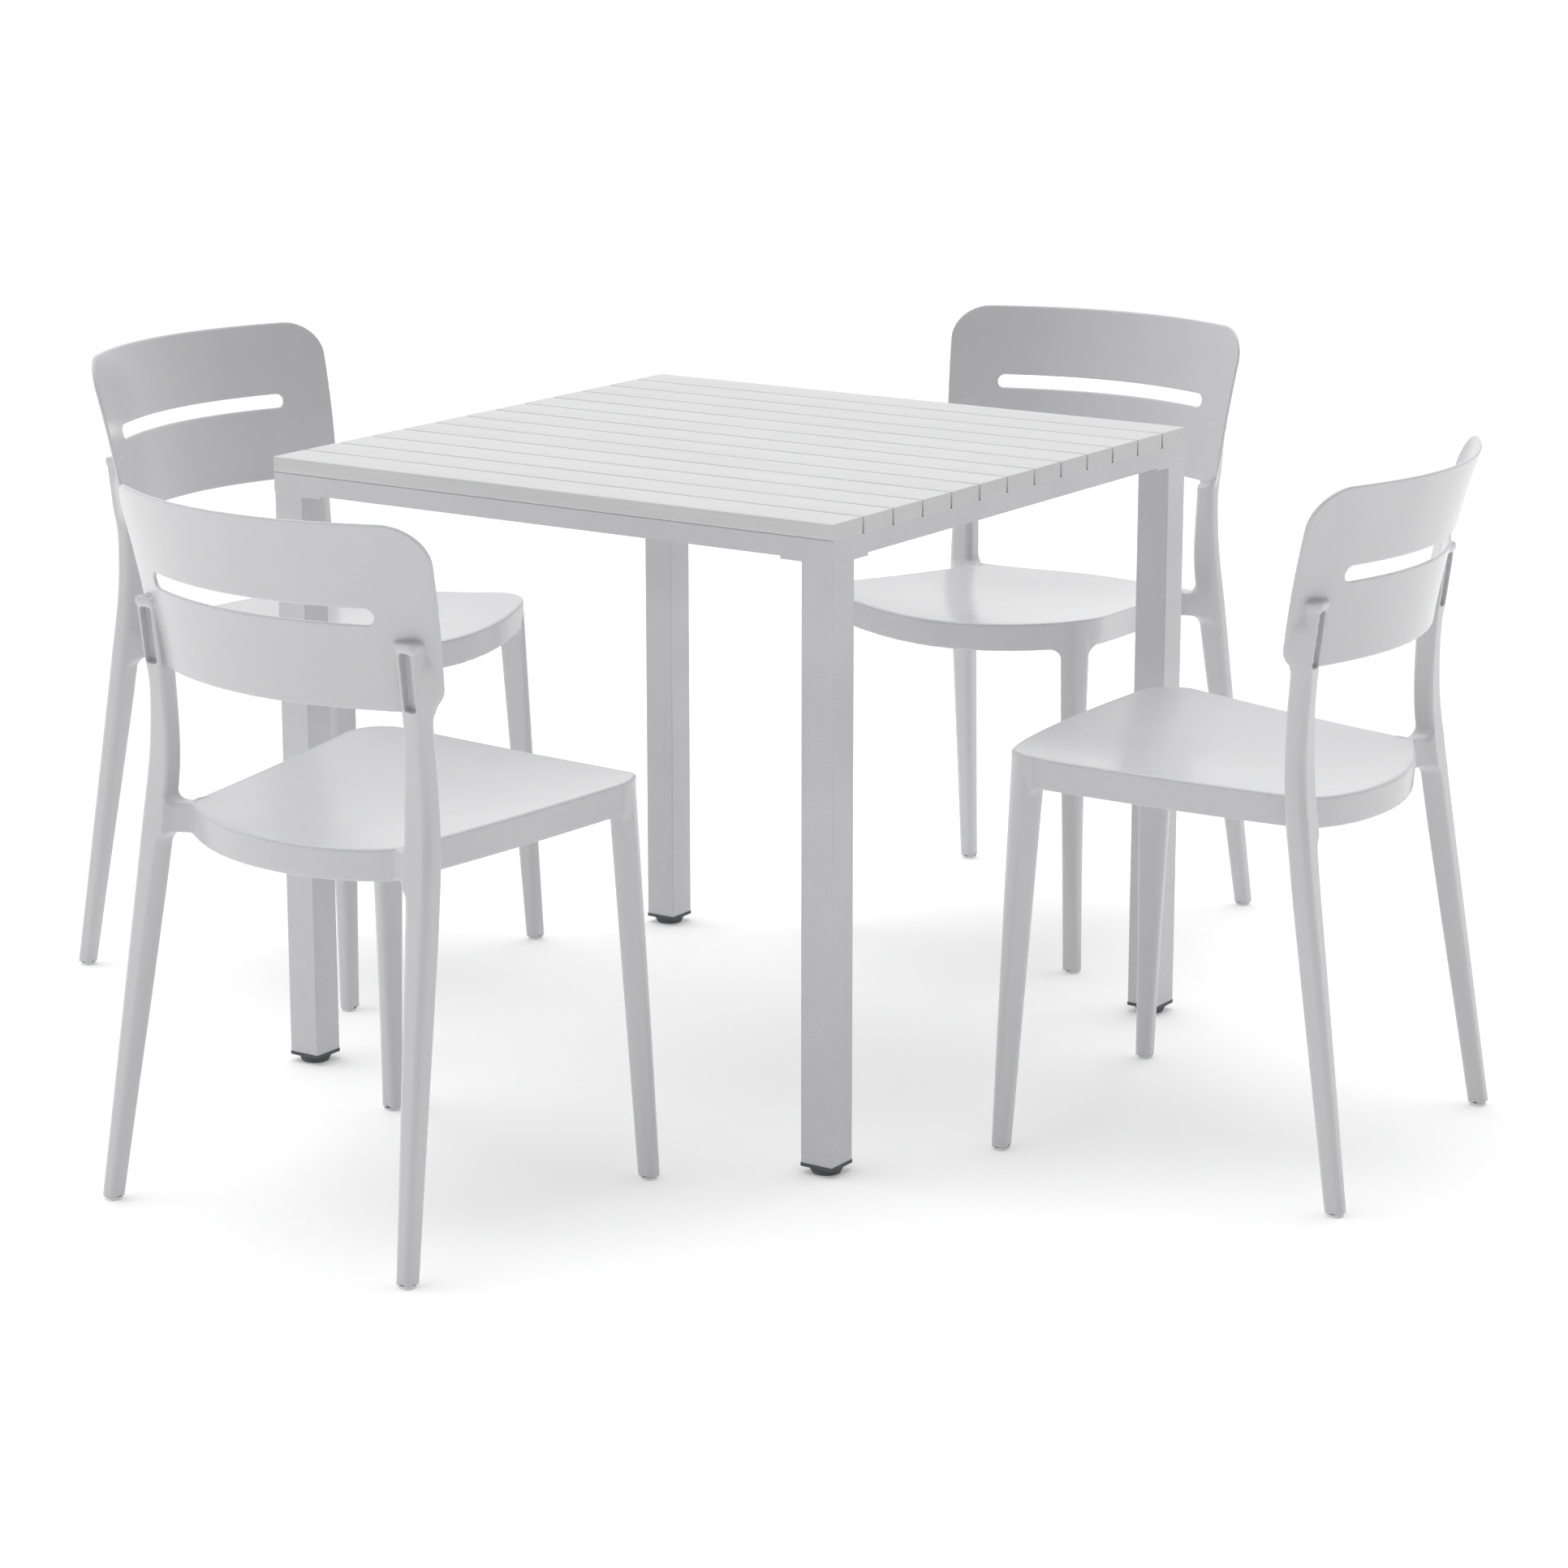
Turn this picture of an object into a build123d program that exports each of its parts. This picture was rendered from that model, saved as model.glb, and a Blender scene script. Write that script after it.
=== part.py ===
"""Square patio table with a slatted top and four one-piece stacking chairs."""

import os
from math import sqrt

from build123d import *

# Row frame: +Z up, origin on the floor under the middle of the table, front towards -Y.

# Table, overall
table_width = 800.0
table_depth = 800.0
table_height = 756.0

# Slats
slat_count = 13
slat_gap = 3.5
slat_thickness = 19.0
slat_edge = 1.2
pilot_depth = 13.0

# Rails, a mitred ring of rectangular tube
rail_width = 43.0
rail_height = 23.0
rail_wall = 2.0
rail_screw_spacing = 300.0
bar_width = 40.0

# Legs
leg_side = 43.0
leg_wall = 2.0
leg_corner = 2.0
plate_side = 71.5
plate_thickness = 3.5
bolt_from_leg = 14.3
connector_arm = 80.0
connector_height = 12.0
fit_gap = 0.1

# Fasteners
bolt_diameter = 6.0
bolt_head_diameter = 12.6
bolt_head_height = 3.3
screw_diameter = 5.0
screw_head_diameter = 12.0
screw_head_height = 2.4
hole_clearance = 0.5
thread_gap = 0.05
socket_size = 4.0
socket_depth = 1.8
screw_socket_depth = 1.4
bolt_head_round = 2.3
screw_head_round = 1.2
point_gap = 1.0

# Angle brackets at the ends of the middle bar
bracket_leg = 24.0
bracket_height = 16.0
bracket_sheet = 2.0
bracket_screw_diameter = 4.0
bracket_head_diameter = 8.0
bracket_head_height = 2.0
bracket_head_round = 0.7
bracket_screw_length = 7.0

# Leg caps and levelling feet
cap_flange = 4.0
cap_proud = 0.6
cap_plug = 22.0
pad_height = 8.7
pad_top_diameter = 39.0
pad_foot_diameter = 33.0
pad_taper_height = 6.1
pad_socket_depth = 5.5
pad_gap = 0.3
stud_diameter = 8.0
stud_running_gap = 0.08
stud_length = 34.0
stud_collar = 12.0

# Chair, overall: local frame with +Y towards the chair's front, +X to its right
seat_height = 461.8
back_height = 812.3
rear_foot_spacing = 451.2
front_foot_spacing = 401.9
foot_depth = 425.0
glide_height = 3.0
glide_diameter = 19.0
glide_stem_diameter = 8.0
glide_stem_length = 14.0

# Seat shell
seat_half_width = 182.9
seat_splay = 0.159
seat_front = 252.6
seat_front_bow = 10.8
seat_rear = 182.6
seat_rear_bow = 16.4
seat_rim = 36.5
seat_wall = 4.5
front_corner_radius = 46.0
rear_corner_radius = 16.0
side_profile = (0.0, 5.87, 0.65)
centre_profile = (-16.4, 4.63, 2.27, -0.74)
trim_height = 120.0
trim_margin = 1.2
sheet_columns = 6
sheet_rows = 12

# Back panel
panel_bottom = 605.5
panel_top_half_width = 231.5
panel_bottom_half_width = 214.5
panel_thickness = 5.0
panel_plan_radius = 388.0
panel_foot_y = -190.0
panel_lean = (-0.155, -0.00045)
panel_top_radius = 45.0
panel_bottom_radius = 26.0
panel_margin = 4.0
slot_length = 326.0
slot_width = 17.5
slot_level = 709.5

# Legs of the chair: lean and rake per mm of height, half width and half depth with their growth
front_leg_lean = (0.0401, 0.0418)
front_leg_width = (12.0, -0.0100)
front_leg_depth = (9.8, 0.0243)
front_leg_root = 25.0
rear_leg_lean = (0.0612, 0.1517)
rear_leg_width = (10.5, 0.0178)
rear_leg_depth = (11.2, 0.0050)
knee_rise = 15.0
leg_corner_share = 0.62

# Posts: rise, shift from post_x and post_y, half width and half depth of each section
post_x = 193.0
post_y = -140.5
post_shoulder = (30.0, 2.0, -0.5, 17.6, 12.9)
post_waist = (85.0, 0.0, 0.0, 14.6, 12.8)
boss_foot = (5.0, -0.5, -4.0, 13.5, 13.2)
boss_cap = (0.0, 0.3, -14.7, 13.4, 9.8)
boss_top = 683.0
pocket_floor = 150.8
pocket_level = 641.0
pocket_width = 16.0
pocket_length = 64.0
pocket_corner = 4.5
pocket_cut = 30.0

# Arms from the seat's rear corners to the posts, measured from the corner and the post's middle
arm_drop = 4.8
arm_height = 32.0
arm_rear_root = (-14.0, -4.0)
arm_front_root = (-10.0, 28.0)
arm_rear_end = -14.5
arm_front_end = 6.5

# Where each chair stands: direction it faces from the table, distance of its middle from the
# table's edge, sideways offset and a small turn
chair_places = {
    "front": (0, 306.2, 6.6, -4.6),
    "right": (90, 298.5, 19.8, 4.7),
    "back": (180, 286.3, -10.6, -0.5),
    "left": (270, 291.9, -4.9, 0.6),
}

slat_pitch = (table_depth + slat_gap) / slat_count
slat_width = slat_pitch - slat_gap
slat_bottom = table_height - slat_thickness
rail_bottom = slat_bottom - rail_height
leg_top = rail_bottom - plate_thickness
cap_bottom = pad_height + pad_gap
leg_bottom = cap_bottom + cap_flange
slat_rows = [-table_depth / 2 + slat_width / 2 + i * slat_pitch for i in range(slat_count)]
inner_rows = slat_rows[1:-1]
rail_screw_columns = [-rail_screw_spacing, 0, rail_screw_spacing]
bolt_inset = leg_side + bolt_from_leg
rail_middle = rail_width / 2
screw_length = rail_height + pilot_depth - point_gap

corners = {
    "front_left": (-1, -1),
    "front_right": (1, -1),
    "back_right": (1, 1),
    "back_left": (-1, 1),
}

os.makedirs("parts", exist_ok=True)


def save(piece, name):
    piece.label = name
    export_step(piece, f"parts/{name}.step")


# Table top

screw_bore = screw_diameter + 2 * thread_gap
side_screw_x = table_width / 2 - rail_middle
for number, row in enumerate(slat_rows, start=1):
    end_row = number in (1, slat_count)
    columns = rail_screw_columns if end_row else [-side_screw_x, 0, side_screw_x]
    screw_row = (table_depth / 2 - rail_middle) * (1 if row > 0 else -1) if end_row else row
    with BuildPart() as slat:
        with BuildSketch(Plane.XY.offset(slat_bottom)):
            with Locations((0, row)):
                Rectangle(table_width, slat_width)
        extrude(amount=slat_thickness)
        chamfer(slat.edges().group_by(Axis.Z)[-1], slat_edge)
        with Locations(*[Location((x, screw_row, slat_bottom)) for x in columns]):
            Cylinder(screw_bore / 2, pilot_depth, align=(Align.CENTER, Align.CENTER, Align.MIN),
                     mode=Mode.SUBTRACT)
    save(slat.part, f"slat_{number:02d}")


def build_rail(length, screw_columns, bracket_columns):
    """Mitred tube along X, outer face on y = 0, drilled for slat screws, bolts and brackets."""
    half = length / 2
    bolt_x = half - bolt_inset
    with BuildPart() as rail:
        with BuildSketch():
            Polygon((-half, 0), (half, 0), (half - rail_width, rail_width),
                    (rail_width - half, rail_width), align=None)
        extrude(amount=rail_height)
        with BuildSketch(Plane.YZ.offset(-half)):
            with Locations((rail_middle, rail_height / 2)):
                Rectangle(rail_width - 2 * rail_wall, rail_height - 2 * rail_wall)
        extrude(amount=length, mode=Mode.SUBTRACT)
        with BuildSketch():
            with Locations(*[(x, rail_middle) for x in screw_columns]):
                Circle((screw_diameter + hole_clearance) / 2)
        extrude(amount=rail_height, mode=Mode.SUBTRACT)
        with BuildSketch():
            with Locations((-bolt_x, rail_middle), (bolt_x, rail_middle)):
                Circle((bolt_diameter + hole_clearance) / 2)
        extrude(amount=rail_wall, mode=Mode.SUBTRACT)
        if bracket_columns:
            with BuildSketch(Plane.XZ.offset(-rail_width)):
                with Locations(*[(x, rail_height / 2) for x in bracket_columns]):
                    Circle(bracket_screw_diameter / 2 + thread_gap)
            extrude(amount=rail_wall, mode=Mode.SUBTRACT)
    return rail.part


bracket_hole = bracket_leg / 2 + bracket_sheet
bracket_column = bar_width / 2 + bracket_hole
long_rail = build_rail(table_width, rail_screw_columns, (-bracket_column, bracket_column))
side_rail = build_rail(table_depth, inner_rows, ())
save(long_rail.moved(Location((0, -table_depth / 2, rail_bottom))), "rail_front")
save(long_rail.moved(Location((0, table_depth / 2, rail_bottom), (0, 0, 180))), "rail_back")
save(side_rail.moved(Location((table_width / 2, 0, rail_bottom), (0, 0, 90))), "rail_right")
save(side_rail.moved(Location((-table_width / 2, 0, rail_bottom), (0, 0, -90))), "rail_left")

bar_length = table_depth - 2 * rail_width
bracket_level = rail_bottom + rail_height / 2
with BuildPart() as middle_bar:
    with BuildSketch(Plane.XZ.offset(-bar_length / 2)):
        with Locations((0, rail_bottom + rail_height / 2)):
            Rectangle(bar_width, rail_height)
            Rectangle(bar_width - 2 * rail_wall, rail_height - 2 * rail_wall,
                      mode=Mode.SUBTRACT)
    extrude(amount=bar_length)
    with BuildSketch(Plane.XY.offset(rail_bottom)):
        with Locations(*[(0, row) for row in inner_rows]):
            Circle((screw_diameter + hole_clearance) / 2)
    extrude(amount=rail_height, mode=Mode.SUBTRACT)
    bracket_row = bar_length / 2 - bracket_hole
    with BuildSketch(Plane.YZ.offset(-bar_width / 2)):
        with Locations((-bracket_row, bracket_level), (bracket_row, bracket_level)):
            Circle(bracket_screw_diameter / 2 + thread_gap)
    extrude(amount=bar_width, mode=Mode.SUBTRACT)
save(middle_bar.part, "middle_bar")

# Brackets of the middle bar

with BuildPart() as bracket:
    with BuildSketch(Plane.XY.offset(bracket_level - bracket_height / 2)):
        Rectangle(bracket_leg, bracket_sheet, align=Align.MIN)
        Rectangle(bracket_sheet, bracket_leg, align=Align.MIN)
    extrude(amount=bracket_height)
    with Locations(Location((bracket_hole, bracket_sheet / 2, bracket_level), (90, 0, 0)),
                   Location((bracket_sheet / 2, bracket_hole, bracket_level), (0, 90, 0))):
        Cylinder((bracket_screw_diameter + 2 * thread_gap) / 2, bracket_sheet + point_gap,
                 mode=Mode.SUBTRACT)

with BuildPart() as bracket_screw:
    with Locations((0, 0, bracket_sheet)):
        Cylinder(bracket_head_diameter / 2, bracket_head_height,
                 align=(Align.CENTER, Align.CENTER, Align.MIN))
    fillet(bracket_screw.edges().group_by(Axis.Z)[-1], bracket_head_round)
    with Locations((0, 0, bracket_sheet)):
        Cylinder(bracket_screw_diameter / 2, bracket_screw_length,
                 align=(Align.CENTER, Align.CENTER, Align.MAX))

bracket_corner = Location((bar_width / 2, -bar_length / 2, 0))
to_rail = Location((bracket_hole, 0, bracket_level), (-90, 0, 0))
to_bar = Location((0, bracket_hole, bracket_level), (0, 90, 0))
one_angle = bracket.part.moved(bracket_corner)
angle_screws = [bracket_screw.part.moved(bracket_corner * to_rail),
                bracket_screw.part.moved(bracket_corner * to_bar)]


def four_ways(piece):
    """The piece and its mirror images across the table's two middle planes."""
    pair = [piece, piece.mirror(Plane.YZ)]
    return pair + [one.mirror(Plane.XZ) for one in pair]


save(Compound(children=four_ways(one_angle)), "bar_brackets")
save(Compound(children=[s for screw in angle_screws for s in four_ways(screw)]), "bracket_screws")

# Slat screws

with BuildPart() as slat_screw:
    with Locations((0, 0, rail_bottom)):
        Cylinder(screw_head_diameter / 2, screw_head_height,
                 align=(Align.CENTER, Align.CENTER, Align.MAX))
    fillet(slat_screw.edges().group_by(Axis.Z)[0], screw_head_round)
    with Locations((0, 0, rail_bottom)):
        Cylinder(screw_diameter / 2, screw_length,
                 align=(Align.CENTER, Align.CENTER, Align.MIN))
    with BuildSketch(Plane.XY.offset(rail_bottom - screw_head_height)):
        RegularPolygon(socket_size / 2, 6)
    extrude(amount=screw_socket_depth, mode=Mode.SUBTRACT)

end_row_y = table_depth / 2 - rail_middle
screw_groups = {
    "end_rail_screws": [(x, y) for y in (-end_row_y, end_row_y) for x in rail_screw_columns],
    "side_rail_screws": [(x, row) for x in (-side_screw_x, side_screw_x) for row in inner_rows],
    "middle_bar_screws": [(0, row) for row in inner_rows],
}
for name, places in screw_groups.items():
    screws = [slat_screw.part.moved(Location((x, y, 0))) for x, y in places]
    save(Compound(children=screws), name)

# Legs

plate_hole = (bolt_diameter + hole_clearance) / 2
with BuildPart() as leg_bolt:
    with Locations((0, 0, leg_top)):
        Cylinder(bolt_head_diameter / 2, bolt_head_height,
                 align=(Align.CENTER, Align.CENTER, Align.MAX))
    fillet(leg_bolt.edges().group_by(Axis.Z)[0], bolt_head_round)
    bolt_length = plate_thickness + rail_wall + connector_height - point_gap
    with Locations((0, 0, leg_top)):
        Cylinder(bolt_diameter / 2, bolt_length, align=(Align.CENTER, Align.CENTER, Align.MIN))
    with BuildSketch(Plane.XY.offset(leg_top - bolt_head_height)):
        RegularPolygon(socket_size / 2, 6)
    extrude(amount=socket_depth, mode=Mode.SUBTRACT)

bolts = []
for name, (sx, sy) in corners.items():
    corner_x = sx * table_width / 2
    corner_y = sy * table_depth / 2
    leg_x = corner_x - sx * leg_side / 2
    leg_y = corner_y - sy * leg_side / 2
    bolt_spots = [(corner_x - sx * bolt_inset, corner_y - sy * rail_middle),
                  (corner_x - sx * rail_middle, corner_y - sy * bolt_inset)]
    bolts += [leg_bolt.part.moved(Location((x, y, 0))) for x, y in bolt_spots]

    with BuildPart() as connector:
        arm_width = rail_width - 2 * rail_wall - 2 * fit_gap
        start = rail_wall + fit_gap
        arm_length = connector_arm - start
        with BuildSketch(Plane.XY.offset(rail_bottom + rail_wall)):
            with Locations((corner_x - sx * (start + arm_length / 2), corner_y - sy * rail_middle)):
                Rectangle(arm_length, arm_width)
            with Locations((corner_x - sx * rail_middle, corner_y - sy * (start + arm_length / 2))):
                Rectangle(arm_width, arm_length)
            with Locations(*bolt_spots):
                Circle(bolt_diameter / 2 + thread_gap, mode=Mode.SUBTRACT)
        extrude(amount=connector_height)
        chamfer(connector.edges().group_by(Axis.Z)[-1], 1.5)
    save(connector.part, f"rail_connector_{name}")

    with BuildPart() as plate:
        with BuildSketch(Plane.XY.offset(leg_top)):
            with Locations((corner_x - sx * plate_side / 2, corner_y - sy * plate_side / 2)):
                RectangleRounded(plate_side, plate_side, leg_corner)
            with Locations(*bolt_spots):
                Circle(plate_hole, mode=Mode.SUBTRACT)
        extrude(amount=plate_thickness)
    save(plate.part, f"leg_plate_{name}")

    with BuildPart() as leg:
        with BuildSketch(Plane.XY.offset(leg_bottom)):
            with Locations((leg_x, leg_y)):
                RectangleRounded(leg_side, leg_side, leg_corner)
                Rectangle(leg_side - 2 * leg_wall, leg_side - 2 * leg_wall, mode=Mode.SUBTRACT)
        extrude(amount=leg_top - leg_bottom)
    save(leg.part, f"leg_{name}")

    with BuildPart() as cap:
        with BuildSketch(Plane.XY.offset(cap_bottom)):
            with Locations((leg_x, leg_y)):
                RectangleRounded(leg_side + 2 * cap_proud, leg_side + 2 * cap_proud,
                                 leg_corner + cap_proud)
        extrude(amount=cap_flange)
        with BuildSketch(Plane.XY.offset(leg_bottom)):
            with Locations((leg_x, leg_y)):
                Rectangle(leg_side - 2 * leg_wall - 2 * fit_gap,
                          leg_side - 2 * leg_wall - 2 * fit_gap)
        extrude(amount=cap_plug)
        with BuildSketch(Plane.XY.offset(cap_bottom)):
            with Locations((leg_x, leg_y)):
                Circle(stud_diameter / 2 + stud_running_gap)
        extrude(amount=cap_flange + cap_plug, mode=Mode.SUBTRACT)
    save(cap.part, f"leg_cap_{name}")

    with BuildPart() as pad:
        with BuildSketch():
            with Locations((leg_x, leg_y)):
                Circle(pad_foot_diameter / 2)
        with BuildSketch(Plane.XY.offset(pad_taper_height)):
            with Locations((leg_x, leg_y)):
                Circle(pad_top_diameter / 2)
        loft()
        with BuildSketch(Plane.XY.offset(pad_taper_height)):
            with Locations((leg_x, leg_y)):
                Circle(pad_top_diameter / 2)
        extrude(amount=pad_height - pad_taper_height)
        with BuildSketch(Plane.XY.offset(pad_height)):
            with Locations((leg_x, leg_y)):
                Circle(stud_collar / 2 + stud_running_gap)
        extrude(amount=-pad_socket_depth, mode=Mode.SUBTRACT)
    save(pad.part, f"levelling_pad_{name}")

    with BuildPart() as stud:
        stud_foot = pad_height - pad_socket_depth + stud_running_gap
        with BuildSketch(Plane.XY.offset(stud_foot)):
            with Locations((leg_x, leg_y)):
                Circle(stud_diameter / 2)
        extrude(amount=stud_length)
        with BuildSketch(Plane.XY.offset(stud_foot)):
            with Locations((leg_x, leg_y)):
                Circle(stud_collar / 2)
        extrude(amount=pad_socket_depth - 2 * stud_running_gap)
    save(stud.part, f"levelling_stud_{name}")
save(Compound(children=bolts), "leg_bolts")

# Chair

lower_rim = seat_height - seat_rim
rear_foot_x = rear_foot_spacing / 2
front_foot_x = front_foot_spacing / 2


def seat_side_x(y):
    return seat_half_width + seat_splay * y


def seat_level(x, y):
    """Height of the dished seat: a high line along each side, a low one down the middle."""
    v = y / 100
    side = sum(c * v**n for n, c in enumerate(side_profile))
    centre = sum(c * v**n for n, c in enumerate(centre_profile))
    return seat_height + centre + (side - centre) * (x / seat_side_x(y)) ** 2


def rim_corner(middle_y, bow):
    """Where the seat's straight side meets its bowed front or rear edge."""
    y = middle_y
    for _ in range(20):
        x = seat_side_x(y)
        y = middle_y - bow * (x / 100) ** 2
    return x, y


def seat_sheet(drop):
    """The seat's surface as a face, lowered by drop and a little larger than the seat."""
    half = front_x * trim_margin
    depth = (seat_front + seat_rear) * trim_margin
    columns = [half * i / sheet_columns for i in range(-sheet_columns, sheet_columns + 1)]
    rows = [-seat_rear * trim_margin + depth * j / sheet_rows for j in range(sheet_rows + 1)]
    points = [[Vector(x, y, seat_level(x, y) - drop) for y in rows] for x in columns]
    return Face.make_surface_from_array_of_points(points)


def seat_outline(inset):
    """Plan of the seat: bowed front and rear, straight sides, rounded corners."""
    with BuildSketch(Plane.XY.offset(lower_rim - seat_rim)) as plan:
        with BuildLine():
            ThreePointArc((-front_x, front_y), (0, seat_front), (front_x, front_y))
            Line((front_x, front_y), (rear_x, rear_y))
            ThreePointArc((rear_x, rear_y), (0, -seat_rear), (-rear_x, rear_y))
            Line((-rear_x, rear_y), (-front_x, front_y))
        make_face()
        fillet(plan.vertices().group_by(Axis.Y)[-1], front_corner_radius)
        fillet(plan.vertices().group_by(Axis.Y)[0], rear_corner_radius)
        if inset:
            offset(amount=-inset, mode=Mode.REPLACE)
    return plan.sketch


front_x, front_y = rim_corner(seat_front, seat_front_bow)
rear_x, rear_y = rim_corner(-seat_rear, -seat_rear_bow)
above_seat = Solid.extrude(seat_sheet(0).faces()[0], Vector(0, 0, trim_height))
below_rim = Solid.extrude(seat_sheet(seat_rim).faces()[0], Vector(0, 0, -trim_height))
under_skin = Solid.extrude(seat_sheet(seat_wall).faces()[0], Vector(0, 0, trim_height))

with BuildPart() as seat_hollow:
    extrude(seat_outline(seat_wall), amount=trim_height)
    add(under_skin, mode=Mode.SUBTRACT)

with BuildPart() as seat:
    extrude(seat_outline(0), amount=trim_height)
    add(above_seat, mode=Mode.SUBTRACT)
    add(below_rim, mode=Mode.SUBTRACT)
    add(seat_hollow.part, mode=Mode.SUBTRACT)


def leg_section(z, foot_x, foot_y, lean, width, depth):
    """Height, x, y, half width and half depth of a leg at a height, for a foot at +X."""
    forward = 1 if foot_y > 0 else -1
    return (z, foot_x - lean[0] * z, foot_y - forward * lean[1] * z, width[0] + width[1] * z,
            depth[0] + depth[1] * z)


# The front legs run up into the seat, the rear legs to a knee where the posts begin
front_heights = (glide_height, seat_height * 0.3, seat_height * 0.6, lower_rim - front_leg_root,
                 seat_height - seat_wall)
front_leg_sections = [
    leg_section(z, front_foot_x, foot_depth / 2, front_leg_lean, front_leg_width, front_leg_depth)
    for z in front_heights
]
knee = lower_rim + knee_rise
rear_leg_sections = [
    leg_section(z, rear_foot_x, -foot_depth / 2, rear_leg_lean, rear_leg_width, rear_leg_depth)
    for z in (glide_height, knee * 0.35, knee * 0.7, knee)
]
post_levels = ((seat_height, post_shoulder), (seat_height, post_waist), (panel_bottom, boss_foot),
               (boss_top, boss_cap))
post_sections = rear_leg_sections[-1:] + [
    (base + rise, post_x + shift_x, post_y + shift_y, half_x, half_y)
    for base, (rise, shift_x, shift_y, half_x, half_y) in post_levels
]


def build_leg(sections, bore_depth):
    """Leg or post lofted through rounded rectangular sections, with a bore for the glide's stem."""
    with BuildPart() as leg:
        for z, x, y, half_x, half_y in sections:
            with BuildSketch(Plane.XY.offset(z)):
                with Locations((x, y)):
                    corner = leg_corner_share * min(half_x, half_y)
                    RectangleRounded(2 * half_x, 2 * half_y, corner)
        loft()
        if bore_depth:
            with BuildSketch(Plane.XY.offset(glide_height)):
                with Locations(sections[0][1:3]):
                    Circle(glide_stem_diameter / 2 + thread_gap)
            extrude(amount=bore_depth, mode=Mode.SUBTRACT)
    return leg.part


def panel_y(z):
    rise = z - panel_bottom
    return panel_foot_y + panel_lean[0] * rise + panel_lean[1] * rise**2


with BuildPart() as panel:
    reach = panel_top_half_width + panel_margin
    for z in (panel_bottom - panel_margin, (panel_bottom + back_height) / 2,
              back_height + panel_margin):
        with BuildSketch(Plane.XY.offset(z)):
            with BuildLine():
                centre_y = panel_y(z) + panel_plan_radius
                inner = panel_plan_radius - panel_thickness / 2
                outer = panel_plan_radius + panel_thickness / 2
                inner_y = centre_y - sqrt(inner**2 - reach**2)
                outer_y = centre_y - sqrt(outer**2 - reach**2)
                ThreePointArc((-reach, inner_y), (0, centre_y - inner), (reach, inner_y))
                Line((reach, inner_y), (reach, outer_y))
                ThreePointArc((reach, outer_y), (0, centre_y - outer), (-reach, outer_y))
                Line((-reach, outer_y), (-reach, inner_y))
            make_face()
    loft()
    with BuildSketch(Plane.XZ) as panel_front:
        Polygon((-panel_bottom_half_width, panel_bottom), (panel_bottom_half_width, panel_bottom),
                (panel_top_half_width, back_height), (-panel_top_half_width, back_height),
                align=None)
        fillet(panel_front.vertices().group_by(Axis.Y)[-1], panel_top_radius)
        fillet(panel_front.vertices().group_by(Axis.Y)[0], panel_bottom_radius)
        with Locations((0, slot_level)):
            SlotOverall(slot_length, slot_width, mode=Mode.SUBTRACT)
    extrude(amount=panel_plan_radius, both=True, mode=Mode.INTERSECT)

with BuildPart() as arms:
    with BuildSketch(Plane.XY.offset(lower_rim - arm_drop)):
        for side in (-1, 1):
            Polygon((side * (rear_x + arm_rear_root[0]), rear_y + arm_rear_root[1]),
                    (side * post_x, post_y + arm_rear_end),
                    (side * post_x, post_y + arm_front_end),
                    (side * (rear_x + arm_front_root[0]), rear_y + arm_front_root[1]),
                    align=None)
    extrude(amount=arm_height)

with BuildPart() as pockets:
    with BuildSketch(Plane.XZ.offset(pocket_floor)):
        with Locations((-post_x, pocket_level), (post_x, pocket_level)):
            RectangleRounded(pocket_width, pocket_length, pocket_corner)
    extrude(amount=pocket_cut)

front_leg = build_leg(front_leg_sections, glide_stem_length)
rear_leg = build_leg(rear_leg_sections, glide_stem_length)
post = build_leg(post_sections, 0)
with BuildPart() as chair:
    add(seat.part)
    add(panel.part)
    for limb in (front_leg, rear_leg, post):
        add([limb, limb.mirror(Plane.YZ)])
    add(arms.part)
    add(pockets.part, mode=Mode.SUBTRACT)

with BuildPart() as glides:
    feet = [(s * front_foot_x, foot_depth / 2) for s in (-1, 1)]
    feet += [(s * rear_foot_x, -foot_depth / 2) for s in (-1, 1)]
    with BuildSketch():
        with Locations(*feet):
            Circle(glide_diameter / 2)
    extrude(amount=glide_height)
    with BuildSketch(Plane.XY.offset(glide_height)):
        with Locations(*[s[0][1:3] for s in (front_leg_sections, rear_leg_sections)]):
            Circle(glide_stem_diameter / 2)
        mirror(about=Plane.YZ)
    extrude(amount=glide_stem_length - point_gap)

for name, (side, distance, sideways, turn) in chair_places.items():
    edge = table_depth / 2 if side in (0, 180) else table_width / 2
    place = Location((0, 0, 0), (0, 0, side)) * Location((sideways, -edge - distance, 0),
                                                        (0, 0, turn))
    save(chair.part.moved(place), f"chair_{name}_shell")
    save(glides.part.moved(place), f"chair_{name}_glides")
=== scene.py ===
import math
import time

import bpy
import numpy as np
from mathutils import Matrix, Vector


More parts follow.
